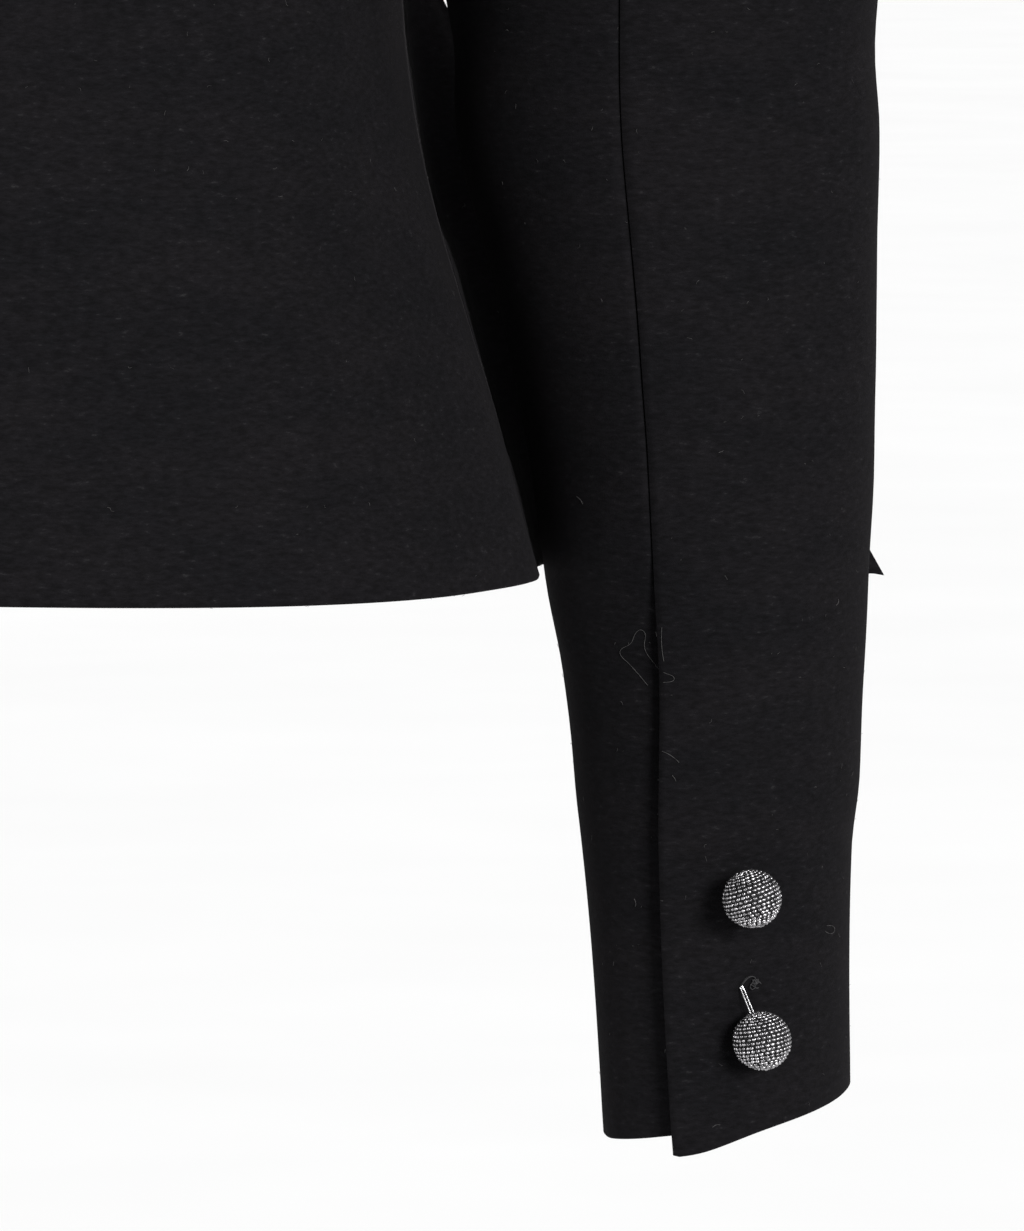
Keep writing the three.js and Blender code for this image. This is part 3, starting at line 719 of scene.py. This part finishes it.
# The loose thread and fibres on the sleeve that shows: places in mm right of and above the
# camera's aim
LINT_LOOP = [
    (35.4, -18.1), (31.2, -12.9), (28.1, -10.3), (28.3, -8.5), (31.2, -7.4), (32.0, -4.6),
    (33.5, -3.3), (35.1, -4.6), (34.1, -8.5), (37.2, -12.6), (39.0, -14.7), (42.4, -15.7),
    (41.9, -17.3), (39.3, -17.3),
]
LINT_FIBRES = [
    [(39.0, -3.0), (38.6, -7.0), (39.5, -11.8)],
    [(39.0, -35.2), (41.4, -36.0), (43.4, -38.1)],
    [(41.6, -41.5), (42.3, -42.0), (42.6, -43.0)],
    [(84.6, 4.3), (84.9, 3.4), (84.0, 2.7)],
    [(81.6, -80.6), (83.4, -80.4), (83.8, -82.2), (82.2, -83.0), (81.2, -82.0)],
    [(17.0, 31.0), (18.2, 30.2), (18.6, 29.0)],
    [(31.9, -73.6), (32.6, -74.6), (32.2, -75.6)],
    [(52.0, -133.0), (53.2, -132.0), (54.0, -132.4)],
]


def turned_out(spot, normal, node):
    """Whether this place is on the side of the cloth that is worn outward."""
    middle = Vector((0, BODY_MIDDLE_Y * MM, spot.z))
    if "sleeve" in node:
        out, back = on_line(spot.z / MM, SLEEVE_LINE)
        middle = Vector((math.copysign(out * MM, spot.x), back * MM, spot.z))
    return normal.dot(spot - middle) > 0


def loose_threads(sleeve):
    """The stray thread and the fibres that show on the sleeve."""
    routes = []
    for places in [LINT_LOOP, *LINT_FIBRES]:
        found = [seen_on(sleeve, *place) for place in places]
        route = [spot + facing * FIBRE_HEIGHT * MM for spot, facing in filter(None, found)]
        if len(route) > 1:
            routes.append(route)
    strand("stray_threads", routes, FIBRE_RADIUS, LINT)


def speck_route(face, corners, rng):
    """The bent line of one speck of lint on a face of the cloth."""
    first = (corners[face.vertices[1]].co - corners[face.vertices[0]].co).normalized()
    second = face.normal.cross(first)
    turn = rng.uniform(0, 2 * math.pi)
    bend = rng.uniform(-SPECK_BEND, SPECK_BEND)
    length = rng.uniform(*SPECK_LENGTH) * MM
    route = [face.center + face.normal * SPECK_HEIGHT * MM]
    for step in range(SPECK_STEPS):
        heading = turn + bend * step
        ahead = first * math.cos(heading) + second * math.sin(heading)
        route.append(route[-1] + ahead * length / SPECK_STEPS + face.normal * SPECK_CLIMB * MM)
    return route


def make_lint(cloth):
    """Loose threads on the sleeve that shows, and fine specks on the outer side of all the cloth."""
    loose_threads([cloth["top_sleeve_right"], cloth["under_sleeve_right"]])
    rng = random.Random("specks")
    specks = []
    for node in sorted(cloth):
        faces = cloth[node].data.polygons
        for count in range(int(len(faces) / SPECK_SHARE)):
            face = faces[rng.randrange(len(faces))]
            if turned_out(face.center, face.normal, node):
                specks.append(speck_route(face, cloth[node].data.vertices, rng))
    strand("specks_of_lint", specks, SPECK_RADIUS, LINT, sides=0, steps=2)


def make_buttons():
    for node in sorted(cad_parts):
        if "button" in node:
            beaded_ball(node, LOWER_BALL_TILT if "lower" in node else BALL_TILT)


def wire_loop(node):
    """The lower ball's shank: a long narrow loop of fine wire, within its solid's place. Gives the
    loop's top, the way across the sleeve and the way out from it."""
    low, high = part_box(node)
    side = side_of(low)
    near, far = sorted((abs(low.x), abs(high.x)))
    top = Vector((side * near, high.y - LOOP_TOP_INSET[0], high.z - LOOP_TOP_INSET[1]))
    bottom = Vector((
        side * (far - LOOP_BOTTOM_INSET[0]), low.y + LOOP_BOTTOM_INSET[1], low.z + LOOP_BOTTOM_INSET[2],
    ))
    along = (bottom - top).normalized()
    outward = Vector((side * LOOP_FACING[0], LOOP_FACING[1], 0.0)).normalized()
    across = along.cross(outward).normalized()
    half = across * LOOP_HALF_WIDTH
    wide = top + along * LOOP_WIDE
    narrow = top + along * LOOP_NARROW[0]
    less = half * LOOP_NARROW[1]
    ring = [bottom + half, wide + half, narrow + less, top, narrow - less, wide - half, bottom - half]
    piece = strand(node.replace("shank", "wire"), [ring], LOOP_WIRE_RADIUS, WIRE)
    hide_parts(node)
    return top, across * side, outward


def knot(name, top, across, outward):
    """Black sewing thread that holds the loop: a short arch of strands and a small curly knot."""
    rng = random.Random("knot")
    routes = []
    up = Vector((0, 0, 1))

    def offset(along_across, along_up, along_out):
        return (across * along_across + up * along_up + outward * along_out) * MM

    for index in range(KNOT_STRANDS):
        lift = rng.uniform(-KNOT_STRAND_RISE, KNOT_STRAND_RISE)
        shift = offset(0.0, lift, KNOT_STRAND_PITCH * index)
        routes.append([
            top + offset(*place) + (shift if shifted else Vector())
            for *place, shifted in KNOT_ARCH
        ])
    for curl in range(KNOT_CURLS):
        start = rng.uniform(0, 2 * math.pi)
        radius = rng.uniform(*KNOT_CURL_RADIUS)
        stray_across = rng.uniform(-KNOT_CURL_STRAY[0], KNOT_CURL_STRAY[0])
        stray_up = rng.uniform(-KNOT_CURL_STRAY[1], KNOT_CURL_STRAY[1])
        middle = top + offset(*KNOT_MIDDLE) + offset(stray_across, stray_up, 0.0)
        route = []
        for step in range(KNOT_CURL_POINTS):
            angle = start + step * KNOT_CURL_STEP
            depth = rng.uniform(*KNOT_CURL_DEPTH)
            route.append(middle + offset(radius * math.cos(angle), radius * math.sin(angle), depth))
        routes.append(route)
    strand(name, routes, KNOT_THREAD_RADIUS, THREAD)


def finish_shanks():
    """The lower loops are fine wire held by thread. The others keep their solids, in bright metal."""
    for node in sorted(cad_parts):
        if "shank_lower" in node:
            top, across, outward = wire_loop(node)
            knot(node.replace("sleeve_shank", "thread_knot"), top, across, outward)
        elif "shank" in node:
            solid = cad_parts[node]
            solid.data.materials.clear()
            solid.data.materials.append(WIRE)


# Stage, light and camera


def aim_point():
    turn = math.radians(VIEW_AZIMUTH)
    right = Vector((math.cos(turn), math.sin(turn), 0))
    near = Vector((math.sin(turn), -math.cos(turn), 0))
    return right * AIM_RIGHT + near * AIM_NEAR + Vector((0, 0, AIM_Z))


def toward(azimuth_deg, elevation_deg):
    """The direction from the blazer to something seen at this azimuth and elevation."""
    azimuth = math.radians(azimuth_deg)
    elevation = math.radians(elevation_deg)
    return Vector((
        math.sin(azimuth) * math.cos(elevation),
        -math.cos(azimuth) * math.cos(elevation),
        math.sin(elevation),
    ))


def view_direction():
    return toward(VIEW_AZIMUTH, VIEW_ELEVATION)


def make_camera():
    away = view_direction()
    data = bpy.data.cameras.new("camera")
    data.sensor_fit = "AUTO"
    data.sensor_width = SENSOR_MM
    data.lens = SENSOR_MM * VIEW_DISTANCE / (MM_PER_PIXEL * MM * FRAME_LONG_SIDE_PX)
    data.clip_start = CLIP_START
    data.clip_end = CLIP_END
    camera = bpy.data.objects.new("camera", data)
    camera.location = aim_point() + away * VIEW_DISTANCE
    camera.rotation_euler = away.to_track_quat("Z", "Y").to_euler()
    bpy.context.scene.collection.objects.link(camera)
    bpy.context.scene.camera = camera


def make_floor():
    """A wide pale floor below the cuffs."""
    floor = bmesh.new()
    bmesh.ops.create_grid(floor, x_segments=1, y_segments=1, size=FLOOR_SIZE)
    bmesh.ops.translate(floor, verts=floor.verts, vec=(0, 0, FLOOR_Z))
    piece = bpy.data.objects.new("floor", finished_mesh("floor", floor))
    bpy.context.scene.collection.objects.link(piece)
    material = speckled_material("pale_floor", 3.0, 2.0, FLOOR_TONES, FLOOR_SURFACE)
    piece.data.materials.append(material)


def make_light():
    world = bpy.data.worlds.new("studio")
    bpy.context.scene.world = world
    world.use_nodes = True
    background = world.node_tree.nodes["Background"]
    background.inputs["Color"].default_value = (1.0, 1.0, 1.0, 1.0)
    background.inputs["Strength"].default_value = WORLD_STRENGTH
    for name, (turn, height, strength, width) in STUDIO_LIGHTS.items():
        sun = bpy.data.lights.new(name, "SUN")
        sun.energy = strength
        sun.angle = math.radians(width)
        light = bpy.data.objects.new(name, sun)
        light.rotation_euler = toward(VIEW_AZIMUTH + turn, height).to_track_quat("Z", "Y").to_euler()
        bpy.context.scene.collection.objects.link(light)
    bpy.context.scene.view_settings.view_transform = "Standard"
    bpy.context.scene.view_settings.look = "None"


make_camera()
cloth = make_cloth()
make_lint(cloth)
make_buttons()
finish_shanks()
make_floor()
make_light()
